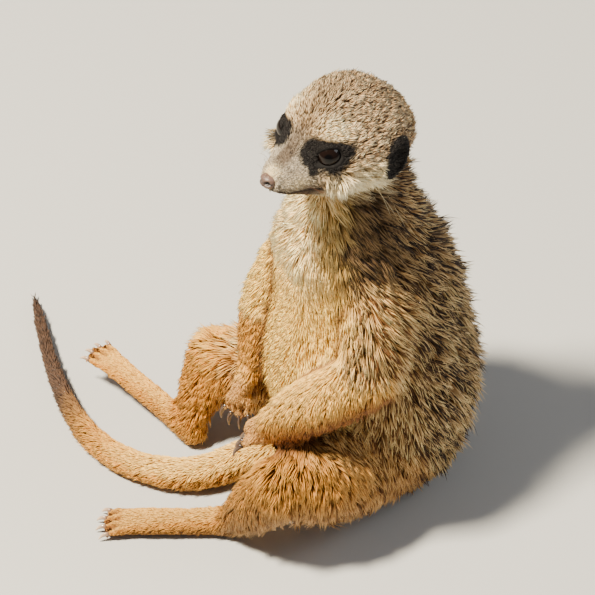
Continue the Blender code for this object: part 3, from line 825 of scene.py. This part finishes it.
pad[:, 1] += NOSTRIL_DEPTH * nostril + SLIT_DEPTH * slit + GROOVE_DEPTH * groove
dark = np.clip(nostril * 1.6 + slit * 1.1 + groove * 0.6, 0, 1)[:, None]
PAD = tone(92, 70, 60)
HOLE = tone(26, 16, 14)
rim = step(np.abs(pad[:, 0]) / NOSE_HALF[0] + np.abs(pad[:, 2]) / NOSE_HALF[2], 0.6, 1.2)[:, None]
colour_attribute(nose.data, "Coat", (PAD * (0.75 + 0.3 * rim)) * (1 - dark) + HOLE * dark)
nose_places = [from_head(p + NOSE_CENTRE) for p in pad]
nose.data.vertices.foreach_set("co", np.array(nose_places, np.float32).ravel())
nose.data.update()
nose.data.shade_smooth()
nose_material, tree, shader, patchy = coat_material("nose_skin", roughness=0.42, scale=2500, amount=0.5)
add_relief(tree, shader, patchy.outputs["Height"], distance=0.15 * MM, strength=0.8)
nose.data.materials.append(nose_material)
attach(nose, "root")
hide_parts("nose")

# ---------------------------------------------------------------- claws
# The animal's own claws, of curved horn, one glued into the end of each toe: long and
# dark on the forepaws, with which it digs, and shorter and paler on the hind feet.
CLAW_RINGS = 9
CLAW_SIDES = 10
CLAW_WIDTHS = {"fore": 1.15, "hind": 1.2}
CLAW_SET_OUT = 0.8             # from the end of the solid toe to the root of the horn
CLAW_ARCH = 1.1                # how far its back stands off a straight line
CLAW_FLAT, CLAW_DEEP = 0.8, 1.15
CLAW_POINT = 0.12
CLAW_OFF_FLOOR = 0.1


def horn(name, dark_horn, pale_horn):
    """Smooth horn, darker at the root than at the tip."""
    material, _tree, shader, _patchy = coat_material(name, roughness=0.3, scale=1800, amount=0.4)
    shader.inputs["Coat Weight"].default_value = 0.3
    return material, dark_horn, pale_horn


horns = {
    "fore": horn("fore_horn", tone(44, 30, 22), tone(110, 82, 62)),
    "hind": horn("hind_horn", tone(120, 88, 66), tone(226, 196, 164)),
}


def ride_claw(node_name, start, end, width, material, root_tone, tip_tone):
    """A round curved claw where a faceted one stands."""
    along_claw = unit((end - start)[None])[0]
    start = start + along_claw * CLAW_SET_OUT * MM
    sag = Vector((0, 0, -1)) - Vector(along_claw) * Vector((0, 0, -1)).dot(Vector(along_claw))
    sag = np.array(sag.normalized())
    across = np.cross(along_claw, sag)
    rings = []
    for i in range(CLAW_RINGS):
        t = i / (CLAW_RINGS - 1)
        centre = start + (end - start) * t - sag * CLAW_ARCH * MM * 4 * t * (1 - t)
        thin = (width * (1 - t) ** 0.7 + CLAW_POINT) * MM
        for j in range(CLAW_SIDES):
            turn = 2 * math.pi * j / CLAW_SIDES
            flat, deep = math.cos(turn) * thin * CLAW_FLAT, math.sin(turn) * thin * CLAW_DEEP
            rings.append(centre + across * flat + sag * deep)
    places = np.array(rings)
    places[:, 2] = np.maximum(places[:, 2], CLAW_OFF_FLOOR * MM)
    faces = [tuple(reversed(range(CLAW_SIDES)))]
    for i in range(CLAW_RINGS - 1):
        for j in range(CLAW_SIDES):
            a, b = i * CLAW_SIDES + j, i * CLAW_SIDES + (j + 1) % CLAW_SIDES
            faces.append((a, b, b + CLAW_SIDES, a + CLAW_SIDES))
    last = (CLAW_RINGS - 1) * CLAW_SIDES
    faces.append(tuple(range(last, last + CLAW_SIDES)))
    mesh = bpy.data.meshes.new(node_name.replace("claw", "horn"))
    mesh.from_pydata([tuple(p) for p in places], [], faces)
    shape = bmesh.new()
    shape.from_mesh(mesh)
    bmesh.ops.recalc_face_normals(shape, faces=shape.faces)
    shape.to_mesh(mesh)
    shape.free()
    t = (np.arange(len(places)) // CLAW_SIDES / (CLAW_RINGS - 1))[:, None]
    colour_attribute(mesh, "Coat", root_tone * (1 - t) + tip_tone * t)
    mesh.shade_smooth()
    mesh.materials.append(material)
    claw = bpy.data.objects.new(mesh.name, mesh)
    bpy.context.scene.collection.objects.link(claw)
    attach(claw, "root")
    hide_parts(node_name)


for paw, lines in claw_lines.items():
    for i, (start, end) in enumerate(lines):
        ride_claw(f"claw_{paw}_{i + 1}", start, end, CLAW_WIDTHS[paw[:4]], *horns[paw[:4]])

# ---------------------------------------------------------------- coat
# The animal's own hair, rooted in the hide all over: thin three-sided locks that lie
# along the body and bend back to it. Neighbouring locks lean together into clumps, as
# dry coarse hair does, and the shortest grow on the face, the ears and the paws.
skin_tris = skin.data.loop_triangles
skin.data.calc_loop_triangles()
corner = np.empty(len(skin_tris) * 3, np.int32)
skin_tris.foreach_get("vertices", corner)
corner = corner.reshape(-1, 3)
loops = np.empty(len(skin_tris) * 3, np.int32)
skin_tris.foreach_get("loops", loops)
flat_uv = np.empty(len(skin.data.loops) * 2, np.float32)
skin.data.uv_layers["OFBake"].data.foreach_get("uv", flat_uv)
corner_uv = flat_uv.reshape(-1, 2)[loops].reshape(-1, 3, 2)
cross = np.cross(points[corner[:, 1]] - points[corner[:, 0]], points[corner[:, 2]] - points[corner[:, 0]])
tri_area = np.linalg.norm(cross, axis=1) / 2 / MM ** 2
rng = np.random.default_rng(7)
UV_PATCH = 0.003
MOST_TRIANGLES = 190000
LOCK_TAPER = 0.5               # how much narrower a lock is before its tip
LOCK_RIDGE = 0.75              # height of its ridge, as a share of its half width
MIDDLE_AT = 0.45               # where the middle tone lies along it
ROOT_DEPTH = 0.25              # how far its root is sunk into the hide
CLUMP_LENGTHS = (0.8, 1.2)
CLUMP_LIFT_SPREAD = 0.22
LOCK_SPREAD = 0.15             # of length and of lift, from lock to lock
GLOW_SPREAD = 0.10             # of brightness, from lock to lock
HAIR_OFF_FLOOR = 0.2
ARCH, SIDE_BEND = 0.07, 0.03   # how far a lock's middle bows, as shares of its length


def closed_locks(name, roots, ups, ways, bends, widths, colours, patches, rings):
    """One mesh of many three-sided locks, each closed at its root and pointed at its tip.

    ways is the whole way from root to tip, bends how far its middle is pushed off that
    straight line, colours three tones a lock, and patches its place on the skin's map.
    """
    count = len(roots)
    across = unit(np.cross(ups, ways))
    over = unit(np.cross(ways, across))
    steps = np.linspace(0, 1, rings + 1)
    verts = np.empty((count, rings * 3 + 1, 3), np.float32)
    shades = np.empty((count, rings * 3 + 1, 3), np.float32)
    uvs = np.empty((count, rings * 3 + 1, 2), np.float32)
    for i, t in enumerate(steps[:-1]):
        centre = roots + ways * t + bends * (4 * t * (1 - t))
        wide = widths[:, None] * (1 - LOCK_TAPER * t)
        verts[:, i * 3] = centre - across * wide
        verts[:, i * 3 + 1] = centre + across * wide
        verts[:, i * 3 + 2] = centre + over * wide * LOCK_RIDGE
        low, high, share = 0, 1, t / MIDDLE_AT
        if t >= MIDDLE_AT:
            low, high, share = 1, 2, (t - MIDDLE_AT) / (1 - MIDDLE_AT)
        shades[:, i * 3:i * 3 + 3] = (colours[:, low] * (1 - share) + colours[:, high] * share)[:, None]
        for j, offset in enumerate((-0.5, 0.5, 0.0)):
            uvs[:, i * 3 + j] = patches + (offset * UV_PATCH, (t - 0.5) * UV_PATCH)
    verts[:, -1] = roots + ways
    shades[:, -1] = colours[:, 2]
    uvs[:, -1] = patches + (0, 0.5 * UV_PATCH)
    faces = [(0, 2, 1)]
    for i in range(rings - 1):
        a, b = i * 3, i * 3 + 3
        for p, q in ((1, 2), (2, 0), (0, 1)):
            faces += [(a + p, a + q, b + q), (a + p, b + q, b + p)]
    a, tip = (rings - 1) * 3, rings * 3
    faces += [(a + 1, a + 2, tip), (a + 2, a, tip), (a, a + 1, tip)]
    faces = np.array(faces, np.int32)
    index = (np.arange(count, dtype=np.int32)[:, None, None] * (rings * 3 + 1) + faces[None]).reshape(-1)
    mesh = bpy.data.meshes.new(name)
    mesh.vertices.add(verts.shape[0] * verts.shape[1])
    mesh.vertices.foreach_set("co", verts.ravel())
    mesh.loops.add(len(index))
    mesh.loops.foreach_set("vertex_index", index)
    mesh.polygons.add(len(index) // 3)
    mesh.polygons.foreach_set("loop_start", np.arange(0, len(index), 3, dtype=np.int32))
    mesh.update(calc_edges=True)
    colour_attribute(mesh, "Coat", shades.reshape(-1, 3))
    layer = mesh.uv_layers.new(name="OFBake")
    layer.data.foreach_set("uv", uvs.reshape(-1, 2)[index].ravel())
    mesh.shade_smooth()
    mesh.materials.append(hair_material)
    obj = bpy.data.objects.new(name, mesh)
    bpy.context.scene.collection.objects.link(obj)
    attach(obj, "root")
    return obj


def grow_coat(name, mask, rings, clump_size, unruly=0.17):
    """Grow the coat of one region of the skin, in as many pieces as its size needs."""
    share = (mask * (1 - bald))[corner].mean(axis=1)
    wanted = tri_area * density[corner].mean(axis=1) * step(share, 0.45, 0.55)
    repeats = np.floor(wanted + rng.random(len(wanted))).astype(int)
    tri = np.repeat(np.arange(len(corner)), repeats)
    count = len(tri)
    a, b = rng.random((2, count))
    swap = a + b > 1
    a[swap], b[swap] = 1 - a[swap], 1 - b[swap]
    weights = np.stack([1 - a - b, a, b], axis=1)

    def read(values):
        picked = values[corner[tri]]
        shape = weights.reshape(count, 3, *([1] * (picked.ndim - 2)))
        return (picked * shape).sum(axis=1)

    roots, ups, ways = read(points), unit(read(normals)), unit(read(lie))
    long, raised, wide, clumped = (read(v) for v in (length, lift, half_width, clumping))
    colours = read(tones)
    patches = (corner_uv[tri] * weights[:, :, None]).sum(axis=1)
    grizzle, darks = read(grizzling), read(dark_share)

    leaders = rng.permutation(count)[:max(count // clump_size, 1)]
    finder = KDTree(len(leaders))
    for i, leader in enumerate(leaders):
        finder.insert(Vector(roots[leader]), i)
    finder.balance()
    clump = np.array([finder.find(Vector(p))[1] for p in roots])
    lead = leaders[clump]
    clump_long = rng.uniform(*CLUMP_LENGTHS, len(leaders))[clump]
    clump_turn = rng.normal(0, unruly, len(leaders))[clump] + rng.normal(0, 0.7 * unruly, count)
    clump_lift = rng.normal(1.0, CLUMP_LIFT_SPREAD, len(leaders))[clump]
    clump_luck = rng.random(len(leaders))[clump] * 0.25 + rng.random(count) * 0.75

    sides = np.cross(ups, ways)
    ways = ways * np.cos(clump_turn)[:, None] + sides * np.sin(clump_turn)[:, None]
    angle = np.radians(raised * np.clip(clump_lift, 0.4, 1.7)) * rng.normal(1, LOCK_SPREAD, count)
    reach = (long * clump_long * rng.normal(1, LOCK_SPREAD, count))[:, None] * MM
    straight = reach * (ways * np.cos(angle)[:, None] + ups * np.sin(angle)[:, None])
    tips = roots + straight
    gathered = tips[lead] + (roots - roots[lead]) * 0.3
    tips += (gathered - tips) * clumped[:, None] * rng.uniform(0.6, 1.0, count)[:, None]
    tips[:, 2] = np.maximum(tips[:, 2], HAIR_OFF_FLOOR * MM)
    bends = ups * reach * ARCH + np.cross(ups, ways) * reach * rng.normal(0, SIDE_BEND, count)[:, None]

    # Each lock is a pale-tipped or a dark one; how many are dark changes over the body.
    is_dark = step(darks - clump_luck, -0.04, 0.04)[:, None] * grizzle[:, None]
    tip = colours[:, 2] * (1 - is_dark) + colours[:, 0] * is_dark * 1.5
    middle = colours[:, 1] * (1 - is_dark) + colours[:, 0] * is_dark
    glow = np.clip(1 + rng.normal(0, GLOW_SPREAD, count), 0.7, 1.3)[:, None]
    colours = np.stack([colours[:, 0] * glow, middle * glow, tip * glow], axis=1)
    colours = np.clip(colours, 0.002, 0.98)

    parts = max(1, math.ceil(count * (rings * 6 - 2) / MOST_TRIANGLES))
    order = np.argsort(roots[:, 2])
    for number, chosen in enumerate(np.array_split(order, parts)):
        label = name if parts == 1 else f"{name}_{number + 1}"
        obj = closed_locks(label, roots[chosen] - ups[chosen] * ROOT_DEPTH * MM, ups[chosen],
                           tips[chosen] - roots[chosen], bends[chosen], wide[chosen] * MM,
                           colours[chosen], patches[chosen], rings)


# How strongly pale and dark locks differ, and what share of them is dark.
crown = on_head * (1 - patch) * step(head[:, 2], -6, 4)
grizzling = np.clip(backside + crown * 0.85 + thigh_back + shaded_left_leg_underside * 0.7 + member["neck"] * 0.7, 0, 1)
grizzling = np.maximum(grizzling, 0.12 + 0.5 * muzzle)
grizzling = np.maximum(grizzling, on_head * step(head[:, 1], 0, 12) * 0.9)
dark_share = 0.32 + 0.14 * far_back + 0.04 * backside

# Each piece: its name, its region, rings in a lock and locks in a clump.
trunk_front = member["trunk"] * (1 - step(edge_angle, 44, 50))
grow_coat("coat_head", on_head, 2, 7, unruly=0.30)
grow_coat("coat_ears", on_ear, 2, 5)
grow_coat("coat_neck", member["neck"], 2, 8)
grow_coat("coat_back", member["trunk"] - trunk_front, 3, 8, unruly=0.22)
grow_coat("coat_belly", trunk_front, 2, 8, unruly=0.09)
grow_coat("coat_arms", arm, 2, 8)
grow_coat("coat_legs", leg, 2, 8)
grow_coat("coat_tail", member["tail"], 2, 7)

# ---------------------------------------------------------------- whiskers
# Fine stiff hairs rooted in both sides of the muzzle, and a few long pale ones on the
# cheeks, each a single tapering hair set into the hide.
WHISKER_ROOTS = (
    (9.5, -42, -7),
    (10.3, -40.5, -9),
    (11, -39, -7.2),
    (11.5, -37.5, -9.2),
    (8.3, -44, -9),
    (12.2, -36, -8),
)
CHEEK_ROOTS = ((19.5, -8, -15), (18.5, -3, -19), (21, -12, -12))
# Roots, length, way, half width and tones of either kind.
MUZZLE_KIND = WHISKER_ROOTS, 17, (0.85, 0.45, -0.25), 0.07, (BLACK[1], UMBER[0], UMBER[1])
CHEEK_KIND = CHEEK_ROOTS, 26, (0.30, 0.40, -0.95), 0.075, (WHITE[1], WHITE[1], WHITE[2])
WHISKER_BOW = 0.0016
WHISKER_RINGS = 6
starts, ways, thick, shades = [], [], [], []
head = in_head(points)
for sign in (1, -1):
    for roots_of, reach, turn, width, colours in (MUZZLE_KIND, CHEEK_KIND):
        for root in roots_of:
            nearest = int(np.argmin(np.linalg.norm(head - np.array(root) * (sign, 1, 1), axis=1)))
            way = unit((np.array(turn) * (sign, 1, 1) + rng.normal(0, 0.14, 3))[None])[0]
            starts.append(nearest)
            ways.append(spin @ way * reach * rng.uniform(0.8, 1.15) * MM)
            thick.append(width * MM)
            shades.append(colours)
starts, ways = np.array(starts), np.array(ways)
first_corner = np.array([int(np.argmax((corner == i).any(axis=1))) for i in starts])
bows = np.tile((0, 0, WHISKER_BOW), (len(starts), 1))
whiskers = closed_locks("whiskers", points[starts], normals[starts], ways, bows, np.array(thick),
                        np.array(shades), corner_uv[first_corner].mean(axis=1), WHISKER_RINGS)
